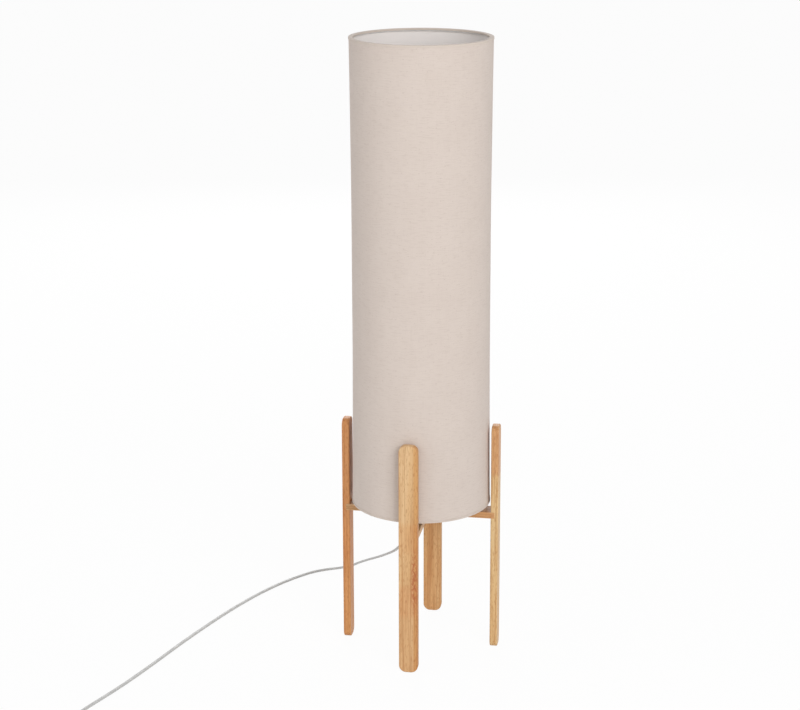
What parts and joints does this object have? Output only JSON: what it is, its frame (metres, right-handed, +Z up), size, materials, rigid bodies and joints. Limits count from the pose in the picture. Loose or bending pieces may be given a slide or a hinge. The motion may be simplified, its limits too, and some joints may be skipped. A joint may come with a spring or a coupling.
{
  "type": "column floor lamp",
  "caption": "Tall fabric drum shade on a half-lapped wooden cross held by four flat round-ended legs, with screw-in bulb, flat cord, foot switch and plug.",
  "frame": {"origin": "on the floor under the shade's axis, at the middle of the four legs", "axes": "+Z up along the shade's axis, -Y towards the front leg, +X towards the right leg"},
  "size_m": [0.6318, 0.8021, 0.9856],
  "materials": {
    "oak": "satin",
    "dowel": "matte",
    "fabric": "matte",
    "liner": "matte",
    "white_wire": "satin",
    "steel": "satin",
    "white_plastic": "satin",
    "ceramic": "matte",
    "brass": "satin",
    "cap_metal": "satin",
    "black_glass": "polished",
    "bulb_white": "gloss",
    "opal": "satin",
    "cord_grey": "satin",
    "pin_metal": "polished",
    "board": "satin",
    "black": "matte"
  },
  "bodies": {
    "stand": {"leg_front": "oak", "leg_right": "oak", "leg_back": "oak", "leg_left": "oak", "cross_bar_lower": "oak", "cross_bar_upper": "oak", "leg_dowels": "dowel", "shade_fabric": "fabric", "shade_seam": "fabric", "shade_top_hem": "fabric", "shade_bottom_hem": "fabric", "shade_liner": "liner", "shade_top_ring": "white_wire", "shade_bottom_ring": "white_wire", "shade_spider": "white_wire", "holder_plate": "steel", "plate_screws": "steel", "threaded_nipple": "steel", "nipple_nut": "steel", "nipple_washer": "steel", "switch_spring": "steel", "switch_screws": "steel", "holder_base": "white_plastic", "holder_shell": "white_plastic", "shade_clamp_ring": "white_plastic", "holder_insert": "ceramic", "screw_sleeve": "brass", "centre_contact": "brass", "holder_terminals": "brass", "terminal_screws": "brass", "switch_contacts": "brass", "cord_grip": "cord_grey", "lamp_strain_relief": "cord_grey", "switch_base": "cord_grey", "switch_cover": "cord_grey", "switch_inlet_relief": "cord_grey", "switch_outlet_relief": "cord_grey", "plug_body": "cord_grey", "plug_strain_relief": "cord_grey", "plug_pin_sleeves": "cord_grey", "cord_run": "cord_grey", "cord_lead": "cord_grey", "cord_coil": "cord_grey", "cord_tail": "cord_grey", "plug_pins": "pin_metal", "coil_tie": "black"},
    "bulb_carrier": {"bulb_tip": "brass"},
    "bulb": {"bulb_insulator": "black_glass", "bulb_cap": "cap_metal", "bulb_housing": "bulb_white", "bulb_board": "board", "bulb_globe": "opal"},
    "foot_button": {"switch_button": "cord_grey"}
  },
  "joints": [
    {"name": "bulb_lift", "type": "slide", "parent": "stand", "child": "bulb_carrier", "axis": [0, 0, 1], "range_m": [0, 0.0163]},
    {"name": "bulb_turn", "type": "hinge", "parent": "bulb_carrier", "child": "bulb", "pos_m": [0, 0, 0.259], "axis": [0, 0, 1], "range_deg": [0, 1620]},
    {"name": "foot_button_press", "type": "slide", "parent": "stand", "child": "foot_button", "axis": [0, 0, -1], "range_m": [0, 0.003], "stiffness_N_per_m": 400, "springref_m": -0.002, "deforming": ["switch_spring"]}
  ],
  "couplings": [
    {"joint": "bulb_turn", "follows": "bulb_lift", "rad_per_m": 1731.4}
  ]
}
